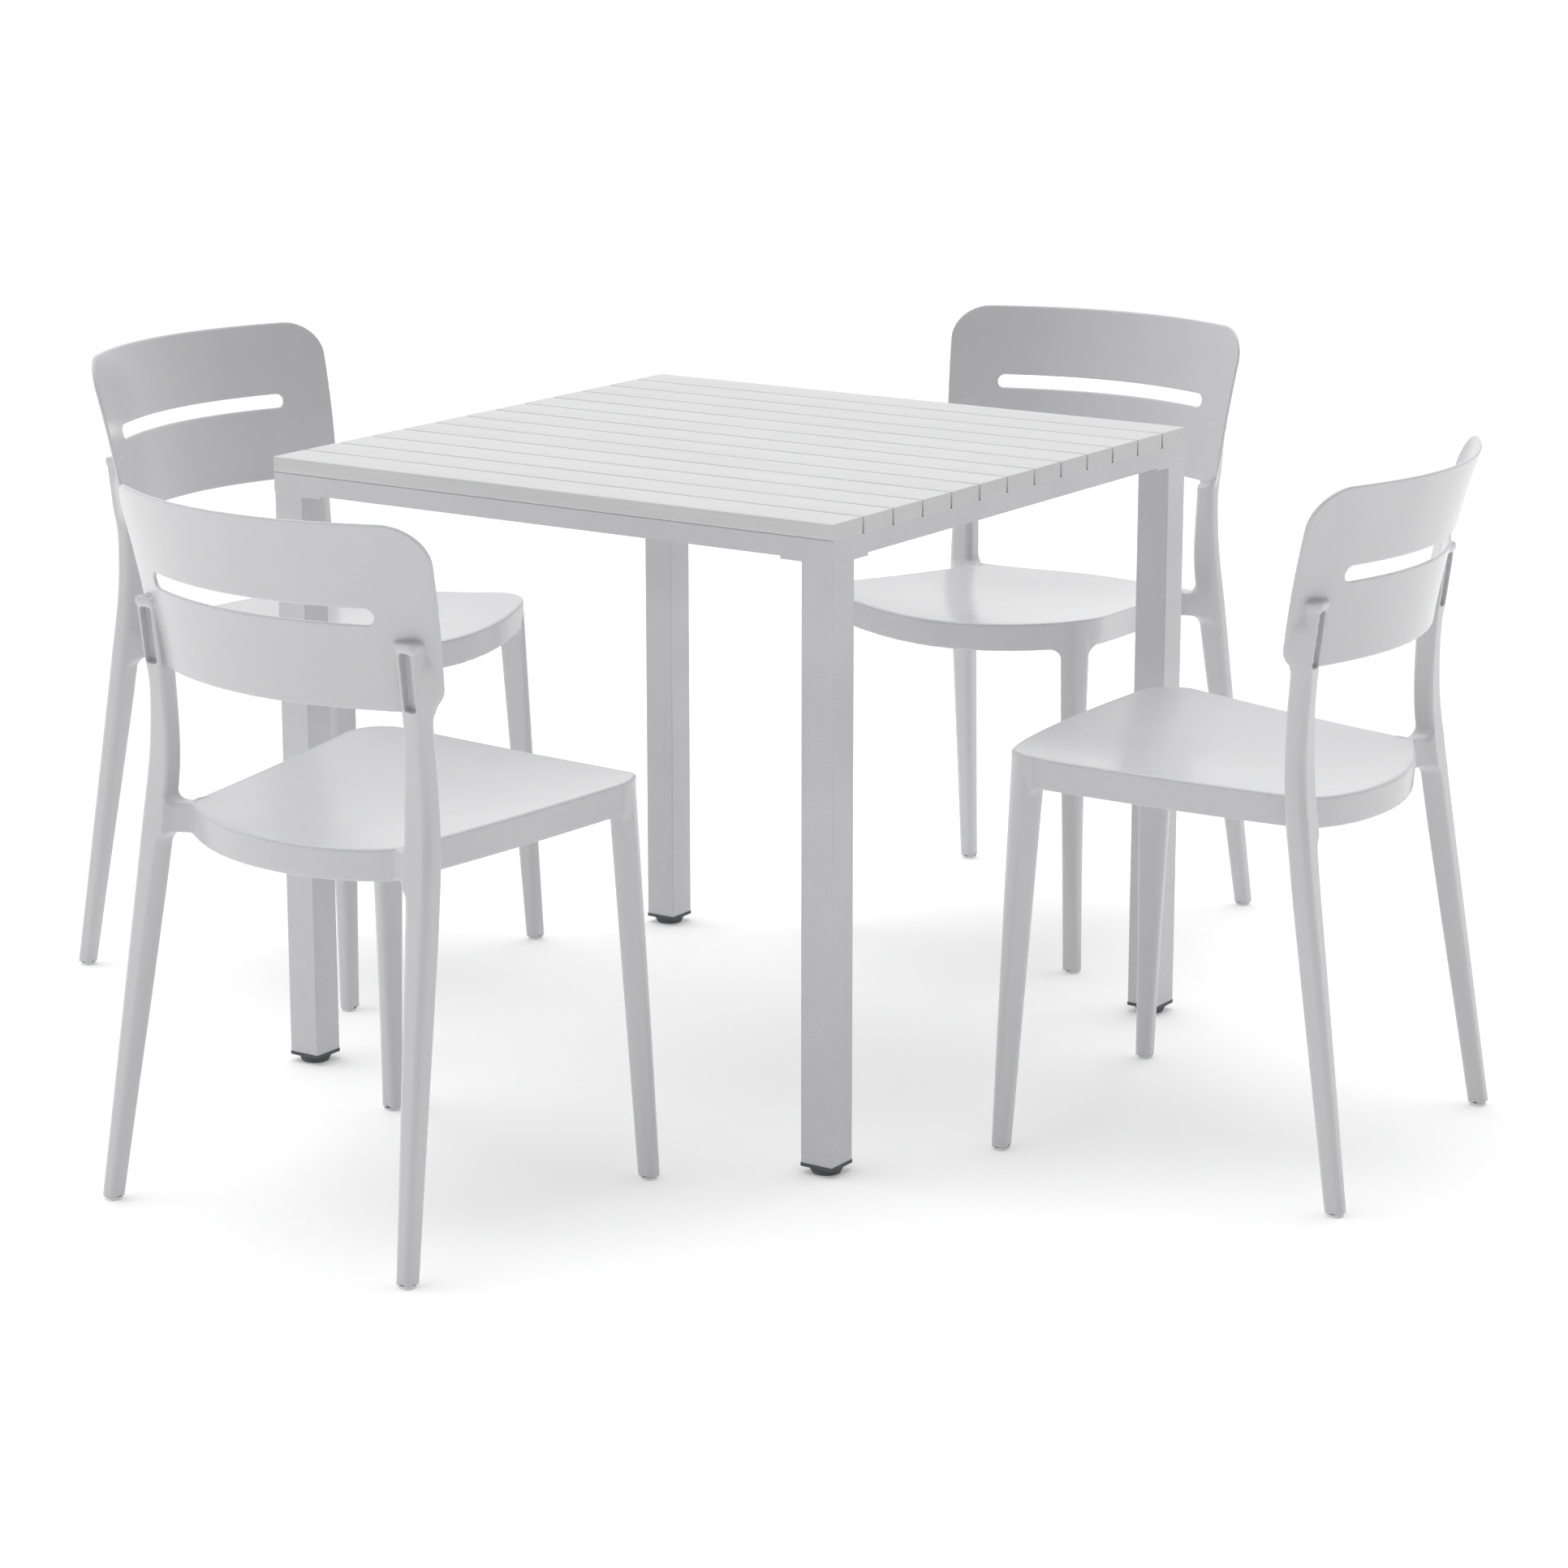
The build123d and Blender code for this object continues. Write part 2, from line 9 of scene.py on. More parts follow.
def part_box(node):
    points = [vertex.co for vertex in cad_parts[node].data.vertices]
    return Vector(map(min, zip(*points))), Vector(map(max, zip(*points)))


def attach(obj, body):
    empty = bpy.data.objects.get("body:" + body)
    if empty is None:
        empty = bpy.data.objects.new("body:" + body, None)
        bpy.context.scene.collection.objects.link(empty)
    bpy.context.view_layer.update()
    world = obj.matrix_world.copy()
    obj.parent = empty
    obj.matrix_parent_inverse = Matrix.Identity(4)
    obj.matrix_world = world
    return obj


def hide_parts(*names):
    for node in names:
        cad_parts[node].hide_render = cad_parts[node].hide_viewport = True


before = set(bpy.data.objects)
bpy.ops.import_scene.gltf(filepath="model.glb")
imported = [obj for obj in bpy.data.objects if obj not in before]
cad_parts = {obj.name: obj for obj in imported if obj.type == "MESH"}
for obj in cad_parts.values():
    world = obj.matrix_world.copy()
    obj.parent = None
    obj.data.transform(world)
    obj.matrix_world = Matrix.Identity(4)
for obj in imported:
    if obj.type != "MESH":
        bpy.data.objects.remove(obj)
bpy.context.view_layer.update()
scene = bpy.context.scene
startTime = time.time()


def srgb(hexColour):
    parts = [int(hexColour[i:i + 2], 16) / 255 for i in (1, 3, 5)]
    return [c / 12.92 if c <= 0.04045 else ((c + 0.055) / 1.055) ** 2.4 for c in parts] + [1.0]


def addNode(tree, kind, sockets=None, **settings):
    node = tree.nodes.new(kind)
    for key, value in settings.items():
        setattr(node, key, value)
    for key, value in (sockets or {}).items():
        if isinstance(value, bpy.types.NodeSocket):
            tree.links.new(value, node.inputs[key])
        else:
            node.inputs[key].default_value = value
    return node


def perMetre(millimetres):
    return 1000.0 / millimetres  # pattern scale whose features are this many mm across


def newMaterial(name, sockets):
    material = bpy.data.materials.new(name)
    material.use_nodes = True
    tree = material.node_tree
    tree.nodes.clear()
    shader = addNode(tree, "ShaderNodeBsdfPrincipled", sockets)
    output = addNode(tree, "ShaderNodeOutputMaterial", {"Surface": shader.outputs[0]})
    output.is_active_output = True
    coords = addNode(tree, "ShaderNodeTexCoord").outputs["Object"]
    return material, tree, shader, coords


def noise(tree, coords, size, detail=3.0, roughness=0.55, stretch=None):
    if stretch:
        coords = addNode(tree, "ShaderNodeVectorMath", {0: coords, 1: stretch},
                         operation="MULTIPLY").outputs[0]
    return addNode(tree, "ShaderNodeTexNoise", {
        "Vector": coords, "Scale": perMetre(size), "Detail": detail,
        "Roughness": roughness}).outputs["Fac"]


def mapRange(tree, value, fromLow, fromHigh, toLow, toHigh):
    return addNode(tree, "ShaderNodeMapRange", {
        "Value": value, "From Min": fromLow, "From Max": fromHigh,
        "To Min": toLow, "To Max": toHigh}).outputs[0]


def mixColour(tree, factor, first, second, blend="MIX"):
    return addNode(tree, "ShaderNodeMix", {0: factor, 6: first, 7: second},
                   data_type="RGBA", blend_type=blend).outputs[2]


def bump(tree, height, distance, strength=1.0, normal=None):
    sockets = {"Height": height, "Distance": distance / 1000, "Strength": strength}
    if normal is not None:
        sockets["Normal"] = normal
    return addNode(tree, "ShaderNodeBump", sockets).outputs["Normal"]


def setMaterial(obj, material):
    obj.data.materials.clear()
    obj.data.materials.append(material)


slatFinish = {"base": "#d6d6d7", "grain": "#cdcdce", "soil": "#bfbfc0"}


def slatPolymer():
    # extruded faux-wood polymer: pale grey, brushed along its length, each slat a shade apart
    material, tree, shader, coords = newMaterial("slat_polymer_brushed", {
        "Roughness": 0.5, "IOR": 1.49})
    tone = addNode(tree, "ShaderNodeAttribute", attribute_name="slatTone").outputs["Fac"]
    shift = addNode(tree, "ShaderNodeCombineXYZ", {"X": tone, "Y": tone}).outputs[0]
    moved = addNode(tree, "ShaderNodeVectorMath", {0: coords, 1: shift}).outputs[0]
    grain = noise(tree, moved, 2.2, 6.0, 0.62, (0.016, 1.0, 1.0))
    fine = noise(tree, moved, 0.7, 3.0, 0.6, (0.02, 1.0, 1.0))
    cloud = noise(tree, coords, 160.0, 2.0)
    colour = mixColour(tree, mapRange(tree, grain, 0.34, 0.66, 0.0, 0.75),
                       srgb(slatFinish["base"]), srgb(slatFinish["grain"]))
    soil = srgb(slatFinish["soil"])
    colour = mixColour(tree, mapRange(tree, tone, 0.0, 1.0, 0.0, 0.10), colour, soil)
    colour = mixColour(tree, mapRange(tree, cloud, 0.4, 0.7, 0.0, 0.10), colour, soil)
    tree.links.new(colour, shader.inputs["Base Color"])
    tree.links.new(mapRange(tree, grain, 0.3, 0.7, 0.44, 0.60), shader.inputs["Roughness"])
    relief = bump(tree, grain, 0.16, 0.55)
    tree.links.new(bump(tree, fine, 0.05, 0.5, relief), shader.inputs["Normal"])
    return material


coatFinish = {"base": "#cfcfd1", "dark": "#c0c0c2", "roughness": 0.42}


def powderCoat():
    # silver-grey powder coat on aluminium: fine orange peel, a faint metal sparkle
    material, tree, shader, coords = newMaterial("frame_powder_coat_silver", {
        "Metallic": 0.12, "IOR": 1.5, "Coat Weight": 0.08, "Coat Roughness": 0.35})
    dark, roughness = srgb(coatFinish["dark"]), coatFinish["roughness"]
    peel = noise(tree, coords, 1.3, 3.0, 0.6)
    flake = addNode(tree, "ShaderNodeTexVoronoi", {
        "Vector": coords, "Scale": perMetre(0.9)}, feature="F1").outputs["Color"]
    flake = addNode(tree, "ShaderNodeSeparateColor", {"Color": flake}).outputs[0]
    cloud = noise(tree, coords, 90.0, 3.0)
    colour = mixColour(tree, mapRange(tree, flake, 0.0, 1.0, 0.0, 0.55), srgb(coatFinish["base"]), dark)
    colour = mixColour(tree, mapRange(tree, cloud, 0.35, 0.7, 0.0, 0.25), colour, dark)
    tree.links.new(colour, shader.inputs["Base Color"])
    rough = addNode(tree, "ShaderNodeMath", {
        0: mapRange(tree, flake, 0.0, 1.0, -0.05, 0.05),
        1: mapRange(tree, cloud, 0.3, 0.7, roughness - 0.05, roughness + 0.05)}, operation="ADD")
    tree.links.new(rough.outputs[0], shader.inputs["Roughness"])
    tree.links.new(bump(tree, peel, 0.06, 0.6), shader.inputs["Normal"])
    return material


metalFinish = {"alloy": "#9b9da0", "alloyPale": "#c0c0c2", "steel": "#b9bbbd"}


def castAlloy():
    # die-cast connector alloy: duller than the tubes, with the pebbled skin of the die
    material, tree, shader, coords = newMaterial("connector_alloy_cast", {
        "Metallic": 0.7, "Roughness": 0.5})
    skin = noise(tree, coords, 2.4, 5.0, 0.65)
    colour = mixColour(tree, mapRange(tree, skin, 0.35, 0.65, 0.0, 0.6),
                       srgb(metalFinish["alloy"]), srgb(metalFinish["alloyPale"]))
    tree.links.new(colour, shader.inputs["Base Color"])
    tree.links.new(mapRange(tree, skin, 0.3, 0.7, 0.42, 0.58), shader.inputs["Roughness"])
    tree.links.new(bump(tree, skin, 0.12, 0.6), shader.inputs["Normal"])
    return material


def stainlessSteel():
    # stainless fasteners: bright, with turning marks and small scuffs from the key
    material, tree, shader, coords = newMaterial("fastener_stainless", {
        "Metallic": 1.0, "Roughness": 0.28})
    marks = noise(tree, coords, 0.5, 3.0, 0.6, (1.0, 1.0, 0.1))
    scuff = noise(tree, coords, 3.0, 4.0, 0.7)
    colour = mixColour(tree, mapRange(tree, scuff, 0.4, 0.7, 0.0, 0.6),
                       srgb(metalFinish["steel"]), srgb(metalFinish["alloy"]))
    tree.links.new(colour, shader.inputs["Base Color"])
    tree.links.new(mapRange(tree, scuff, 0.35, 0.7, 0.2, 0.42), shader.inputs["Roughness"])
    tree.links.new(bump(tree, marks, 0.02, 0.5), shader.inputs["Normal"])
    return material


nylonFinish = {"dark": "#505255", "worn": "#77797c", "white": "#f0f0ee", "scuff": "#bfbfc0"}


def footNylon():
    # dark grey moulded nylon: matt, faintly mottled, paler where it has rubbed on paving
    material, tree, shader, coords = newMaterial("foot_nylon_matt", {
        "Roughness": 0.6, "IOR": 1.53})
    mottle = noise(tree, coords, 6.0, 5.0, 0.6)
    pits = noise(tree, coords, 0.6, 2.0)
    height = addNode(tree, "ShaderNodeSeparateXYZ", {"Vector": coords}).outputs["Z"]
    low = mapRange(tree, height, 0.0, 0.005, 0.8, 0.0)
    rubbed = addNode(tree, "ShaderNodeMath", {0: low, 1: mottle}, operation="MULTIPLY").outputs[0]
    colour = mixColour(tree, rubbed, srgb(nylonFinish["dark"]), srgb(nylonFinish["worn"]))
    tree.links.new(colour, shader.inputs["Base Color"])
    tree.links.new(mapRange(tree, mottle, 0.3, 0.7, 0.5, 0.7), shader.inputs["Roughness"])
    tree.links.new(bump(tree, pits, 0.05, 0.6), shader.inputs["Normal"])
    return material


# the lip is how far in from the rim, in mm, the fine line on the seat starts and ends
plasticFinish = {"base": "#cbcbcd", "flow": "#cdcdcf", "roughness": (0.21, 0.245), "lip": (3.8, 5.4)}


def chairPolypropylene():
    # glass-filled polypropylene: satin spark-eroded skin, soft flow marks, a fine line inside the rim
    material, tree, shader, coords = newMaterial("chair_polypropylene_satin", {
        "Roughness": 0.23, "IOR": 1.6, "Specular IOR Level": 0.5})
    skin = noise(tree, coords, 0.55, 2.0, 0.6)
    flow = noise(tree, coords, 70.0, 4.0, 0.5, (1.0, 1.0, 0.35))
    handled = noise(tree, coords, 14.0, 5.0, 0.65)
    colour = mixColour(tree, mapRange(tree, flow, 0.35, 0.65, 0.0, 1.0),
                       srgb(plasticFinish["base"]), srgb(plasticFinish["flow"]))
    tree.links.new(colour, shader.inputs["Base Color"])
    rough = addNode(tree, "ShaderNodeMath", {
        0: mapRange(tree, handled, 0.3, 0.7, *plasticFinish["roughness"]),
        1: mapRange(tree, flow, 0.3, 0.7, -0.01, 0.01)}, operation="ADD").outputs[0]
    tree.links.new(rough, shader.inputs["Roughness"])
    inset = addNode(tree, "ShaderNodeAttribute", attribute_name="rimInset").outputs["Fac"]
    lipStart, lipEnd = plasticFinish["lip"]
    lip = addNode(tree, "ShaderNodeMapRange", {
        "Value": inset, "From Min": lipStart, "From Max": lipEnd, "To Min": 1.0, "To Max": 0.0},
        interpolation_type="SMOOTHSTEP").outputs[0]
    relief = bump(tree, lip, 0.4, 1.0)
    tree.links.new(bump(tree, skin, 0.02, 0.55, relief), shader.inputs["Normal"])
    return material


def glideNylon():
    # translucent white nylon of the pressed-in glides, scuffed underneath
    material, tree, shader, coords = newMaterial("glide_nylon_white", {
        "Roughness": 0.45, "IOR": 1.53, "Subsurface Weight": 0.15, "Subsurface Scale": 0.002})
    scuff = noise(tree, coords, 1.5, 4.0, 0.7)
    colour = mixColour(tree, mapRange(tree, scuff, 0.45, 0.7, 0.0, 0.15),
                       srgb(nylonFinish["white"]), srgb(nylonFinish["scuff"]))
    tree.links.new(colour, shader.inputs["Base Color"])
    tree.links.new(mapRange(tree, scuff, 0.3, 0.7, 0.38, 0.58), shader.inputs["Roughness"])
    tree.links.new(bump(tree, scuff, 0.05, 0.5), shader.inputs["Normal"])
    return material


materials = {
    "slat": slatPolymer(),
    "coat": powderCoat(),
    "alloy": castAlloy(),
    "steel": stainlessSteel(),
    "foot": footNylon(),
    "chair": chairPolypropylene(),
    "glide": glideNylon(),
}
print("finishes", len(materials))

# CAD nodes that keep their shape
nodeFinish = {"rail_connector": "alloy", "levelling_stud": "steel", "end_rail": "steel",
              "side_rail": "steel", "middle_bar_screws": "steel", "bracket_screws": "steel",
              "leg_bolts": "steel", "leg_cap": "foot", "levelling_pad": "foot", "slat": "slat"}
for name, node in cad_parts.items():
    if name.endswith("glides"):
        choice = "glide"
    elif name.endswith("shell"):
        choice = "chair"
    else:
        choice = next((kind for start, kind in nodeFinish.items() if name.startswith(start)), "coat")
    setMaterial(node, materials[choice])
print("CAD nodes finished", len(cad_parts))


def plainMesh(maker, name):
    # what the maker's modifiers give, as a mesh with no modifier on it
    graph = bpy.context.evaluated_depsgraph_get()
    mesh = bpy.data.meshes.new_from_object(maker.evaluated_get(graph))
    piece = bpy.data.objects.new(name, mesh)
    scene.collection.objects.link(piece)
    data = maker.data
    bpy.data.objects.remove(maker)
    if data.users == 0:
        bpy.data.meshes.remove(data)
    return piece


def setInputs(modifier, values):
    for item in modifier.node_group.interface.items_tree:
        if item.item_type == "SOCKET" and item.in_out == "INPUT" and item.name in values:
            modifier[item.identifier] = values[item.name]


# slats of the top: one rounded profile drawn along the table, repeated across it
slatSizes = {"Length": 0.8, "Width": 0.05831, "Thickness": 0.019, "Edge": 0.0017,
             "Pitch": 0.06180769, "Count": 13, "Steps": 41, "Edge Steps": 5, "Seed": 7}


def slatTree():
    tree = bpy.data.node_groups.new("slatRow", "GeometryNodeTree")
    for key in slatSizes:
        kind = "NodeSocketInt" if isinstance(slatSizes[key], int) else "NodeSocketFloat"
        tree.interface.new_socket(key, in_out="INPUT", socket_type=kind)
    tree.interface.new_socket("Finish", in_out="INPUT", socket_type="NodeSocketMaterial")
    tree.interface.new_socket("Geometry", in_out="OUTPUT", socket_type="NodeSocketGeometry")
    given = addNode(tree, "NodeGroupInput").outputs
    half = addNode(tree, "ShaderNodeMath", {0: given["Length"], 1: 0.5}, operation="MULTIPLY").outputs[0]
    back = addNode(tree, "ShaderNodeMath", {0: half, 1: -1.0}, operation="MULTIPLY").outputs[0]
    start = addNode(tree, "ShaderNodeCombineXYZ", {"X": back}).outputs[0]
    end = addNode(tree, "ShaderNodeCombineXYZ", {"X": half}).outputs[0]
    path = addNode(tree, "GeometryNodeCurvePrimitiveLine", {"Start": start, "End": end})
    path = addNode(tree, "GeometryNodeResampleCurve", {
        "Curve": path.outputs[0], "Count": given["Steps"]})
    outline = addNode(tree, "GeometryNodeCurvePrimitiveQuadrilateral", {
        "Width": given["Width"], "Height": given["Thickness"]})
    outline = addNode(tree, "GeometryNodeFilletCurve", {
        "Curve": outline.outputs[0], "Count": given["Edge Steps"], "Radius": given["Edge"],
        "Limit Radius": True}, mode="POLY")
    body = addNode(tree, "GeometryNodeCurveToMesh", {
        "Curve": path.outputs[0], "Profile Curve": outline.outputs[0], "Fill Caps": True})
    span = addNode(tree, "ShaderNodeMath", {0: given["Count"], 1: 1.0}, operation="SUBTRACT").outputs[0]
    span = addNode(tree, "ShaderNodeMath", {0: span, 1: given["Pitch"]}, operation="MULTIPLY").outputs[0]
    first = addNode(tree, "ShaderNodeMath", {0: span, 1: -0.5}, operation="MULTIPLY").outputs[0]
    line = addNode(tree, "GeometryNodeMeshLine", {
        "Count": given["Count"],
        "Start Location": addNode(tree, "ShaderNodeCombineXYZ", {"Y": first}).outputs[0],
        "Offset": addNode(tree, "ShaderNodeCombineXYZ", {"Y": given["Pitch"]}).outputs[0]})
    row = addNode(tree, "GeometryNodeInstanceOnPoints", {
        "Points": line.outputs[0], "Instance": body.outputs[0]})
    chance = addNode(tree, "FunctionNodeRandomValue", {"Seed": given["Seed"]}, data_type="FLOAT")
    row = addNode(tree, "GeometryNodeStoreNamedAttribute", {
        "Geometry": row.outputs[0], "Name": "slatTone", "Value": chance.outputs[1]},
        data_type="FLOAT", domain="INSTANCE")
    real = addNode(tree, "GeometryNodeRealizeInstances", {0: row.outputs[0]})
    done = addNode(tree, "GeometryNodeSetMaterial", {
        "Geometry": real.outputs[0], "Material": given["Finish"]})
    addNode(tree, "NodeGroupOutput", {"Geometry": done.outputs[0]})
    return tree


def buildSlats():
    low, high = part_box("slat_07")
    maker = bpy.data.objects.new("slatMaker", bpy.data.meshes.new("slatMaker"))
    scene.collection.objects.link(maker)
    modifier = maker.modifiers.new("slats", "NODES")
    modifier.node_group = slatTree()
    setInputs(modifier, {**slatSizes, "Finish": materials["slat"]})
    slats = plainMesh(maker, "table_top_slats")
    slats.data.transform(Matrix.Translation((0, 0, (low.z + high.z) / 2)))
    for polygon in slats.data.polygons:
        polygon.use_smooth = True
    slats.data.set_sharp_from_angle(angle=math.radians(50))
    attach(slats, "table")
    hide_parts(*[f"slat_{n:02d}" for n in range(1, slatSizes["Count"] + 1)])
    return slats


slats = buildSlats()
print("slats", len(slats.data.polygons), "faces")

# one chair, in millimetres: +Y to its front, +X to its right, origin on the floor between the feet
chairSizes = {
    # seat: level, half width and its growth forwards, bowed ends, plan corners, rim, skin, edges
    "seatHeight": 461.8, "halfWidth": 182.9, "splay": 0.159,
    "frontY": 252.6, "frontBow": 10.8, "rearY": 182.6, "rearBow": 16.4,
    "frontCorner": 46.0, "rearCorner": 16.0, "rim": 36.5, "draft": 2.6, "wall": 4.5,
    "sideRise": (5.87, 0.65), "middleLine": (-16.4, 4.63, 2.27, -0.74), "dishEnds": (-190, 260),
    "topEdge": 3.0, "lowEdge": 1.8, "innerEdge": 4.0, "lipDepth": 2.8,
    # front legs: faces as a value at the floor and its change with height, then corner radii
    "legOuterX": (212.4, -0.047, 6.3e-5), "legOuterY": (223.1, -0.0175, 4.45e-5),
    "legInnerX": (188.3, -0.030), "legInnerY": (203.5, -0.066),
    "legCorner": 8.0, "legCornerGain": 38.0, "legTop": 430.0, "legRearGain": 0.025,
    "foot": 3.0, "footEdge": 0.8, "legFillet": 13.0, "legFlush": 1.5, "skirtFrom": 60.0,
    "skirtDepth": 60.0,
    # posts: corner as a share of the section, sharper inner ridge, boss and its flank and cap
    "postCorner": 0.72, "ridgeRise": (380, 470), "ridgeCorner": 4.5, "bossRise": (585, 625),
    "bossCorner": 4.0, "bossFlank": 13.0, "flankRun": (190, 204), "flankFade": (645, 676),
    "postFace": 0.45, "faceSlope": 0.9, "faceRelief": 1.2, "postEdge": 3.0, "postBlend": 5.0,
    "capBottom": 674.5, "capTop": 683.5, "capHalf": (14.8, 10.5), "capX": 193.3, "capY": -155.6,
    "capCorner": 6.0, "capEdge": 2.5, "pocket": (16.2, 64.0, 641.0, 193.6, -150.8),
    "pocketCorner": 4.5, "pocketFloor": 1.5, "pocketLean": 0.09,
    # arms: levels, rear face's root and run, front face's root and direction, where they meet
    "armTop": 452.5, "armBottom": 420.5, "armLevelling": (152, 172), "armFillet": 14.0,
    "armRear": (157.0, -143.5), "armRun": 24.0, "armSetBack": 4.5, "armEdge": 2.5,
    "armFront": (150.5, -112.0, 22.0, 46.5), "armStart": 149.0, "armZone": (390, 480, 150),
    "armFlush": (156, 182, 60.0), "flushZone": (-100, 177, 430, 500),
    # back panel: outline, plan curve, lean with height, and slot
    "panelBottom": 605.5, "panelTop": 812.3, "panelFootY": -190.0, "panelLean": (-0.155, -0.00045),
    "panelCurve": 14.0, "panelThickness": 5.0, "panelHalf": (214.5, 231.5), "panelEdge": 2.3,
    "panelCorners": (45.0, 26.0), "panelCrease": 2.0, "slot": (326.0, 17.5, 709.5),
    # mesh: box it is looked for in, cell of the skin, triangles kept
    "boxY": (-250, 262), "boxZ": (-4, 820), "cell": 1.75, "quickCell": 2.8, "triangles": 190000,
}
# height, centre x, centre y, half width, half depth of the rear leg and the post above it
rearMember = np.array([
    (3, 226.1, -212.8, 10.4, 11.2), (20, 225.1, -210.1, 10.7, 11.3), (120, 219.0, -194.7, 12.4, 12.1),
    (240, 211.6, -176.1, 14.6, 13.0), (360, 204.4, -157.6, 16.9, 13.3), (440, 199.4, -146.4, 18.1, 13.2),
    (470, 196.8, -143.0, 17.9, 13.0), (490, 194.9, -141.0, 17.7, 12.8), (520, 193.5, -140.0, 16.2, 12.5),
    (550, 193.2, -139.8, 14.5, 12.8), (580, 193.0, -140.7, 13.0, 13.4), (600, 192.7, -142.1, 13.0, 13.2),
    (641, 193.0, -148.2, 13.4, 12.0), (683, 193.4, -155.2, 13.6, 9.8), (720, 193.4, -161.0, 13.6, 8.0)])


def smoothTable(table, step=2.0, width=15, rounds=3):
    # the member's sections every few mm, with the kinks between the given ones eased
    heights = np.arange(table[0, 0], table[-1, 0], step)
    half = width // 2
    columns = []
    for i in range(1, table.shape[1]):
        values = np.interp(heights, table[:, 0], table[:, i])
        for _ in range(rounds):
            before = 2 * values[0] - values[half:0:-1]
            after = 2 * values[-1] - values[-2:-half - 2:-1]
            values = np.convolve(np.concatenate([before, values, after]), np.ones(width) / width, "valid")
        columns.append(values)
    return heights, columns


memberHeights, memberColumns = smoothTable(rearMember)


def roundMax(a, b, radius):
    overA, overB = np.maximum(radius + a, 0), np.maximum(radius + b, 0)
    return np.minimum(-radius, np.maximum(a, b)) + np.hypot(overA, overB)


def roundMin(a, b, radius):
    return -roundMax(-a, -b, radius)


def roundedBox(x, y, halfX, halfY, radius):
    overX = np.abs(x) - halfX + radius
    overY = np.abs(y) - halfY + radius
    outside = np.hypot(np.maximum(overX, 0), np.maximum(overY, 0))
    return outside + np.minimum(np.maximum(overX, overY), 0) - radius


def ease(value, low, high):
    share = np.clip((value - low) / (high - low), 0, 1)
    return share * share * (3 - 2 * share)


def series(value, terms):
    return sum(term * value ** power for power, term in enumerate(terms))


def bowSlope(x, bow):
    return np.sqrt(1 + (2e-4 * bow * x) ** 2)  # bow is given per 100 mm squared


def seatInset(x, y, s):
    # distance in from the seat's outline, negative outside it
    side = (x - s["halfWidth"] - s["splay"] * y) / math.hypot(1, s["splay"])
    front = (y - s["frontY"] + s["frontBow"] * (x / 100) ** 2) / bowSlope(x, s["frontBow"])
    rear = (-y - s["rearY"] + s["rearBow"] * (x / 100) ** 2) / bowSlope(x, s["rearBow"])
    return -roundMax(roundMax(side, front, s["frontCorner"]), rear, s["rearCorner"])


def seatLevel(x, y, s):
    # height of the dished seat, between a line along its side and one down its middle
    within = np.clip(y, *s["dishEnds"])
    side = s["seatHeight"] + series(within / 100, (0,) + s["sideRise"])
    middle = s["seatHeight"] + series(within / 100, s["middleLine"])
    across = np.minimum(x / (s["halfWidth"] + s["splay"] * within), 1.2)
    return middle + (side - middle) * across ** 2


def panelMiddle(x, z, s):
    # middle of the panel's thickness, leaning with height and curved in plan
    lean = series(z - s["panelBottom"], (0,) + s["panelLean"])
    return s["panelFootY"] + lean + s["panelCurve"] * (x / 100) ** 2


def seatField(x, y, z, level, s):
    # dished top, drafted rim, hollow below
    drop = level - z
    rimSide = -(seatInset(x, y, s) - s["draft"] * np.clip(drop / s["rim"], 0, 1))
    seat = roundMax(roundMax(rimSide, -drop, s["topEdge"]), drop - s["rim"], s["lowEdge"])
    hollow = roundMax(rimSide + s["wall"], s["wall"] - drop, s["innerEdge"])
    seat = roundMax(seat, -hollow, s["lowEdge"])
    # front legs: the outer corner grows into the seat's own corner towards the top
    corner = s["legCorner"] + s["legCornerGain"] * (z / s["legTop"]) ** 2
    leg = roundMax(x - series(z, s["legOuterX"]), y - series(z, s["legOuterY"]), corner)
    leg = roundMax(leg, series(z, s["legInnerY"]) - y, s["legCorner"] + s["legRearGain"] * z)
    leg = roundMax(leg, series(z, s["legInnerX"]) - x, s["legCorner"])
    outline = roundMin(rimSide, leg, s["legFlush"])
    leg = np.maximum(roundMax(leg, s["foot"] - z, s["footEdge"]), z - level + s["wall"])
    seat = roundMin(seat, leg, s["legFillet"])
    # the fillet stays inside the outline of rim and leg
    skirt = roundMax(outline, -drop, s["topEdge"])
    nearLeg = (y > s["skirtFrom"]) & (drop < s["rim"] + s["skirtDepth"])
    return np.where(nearLeg, np.maximum(seat, skirt), seat)


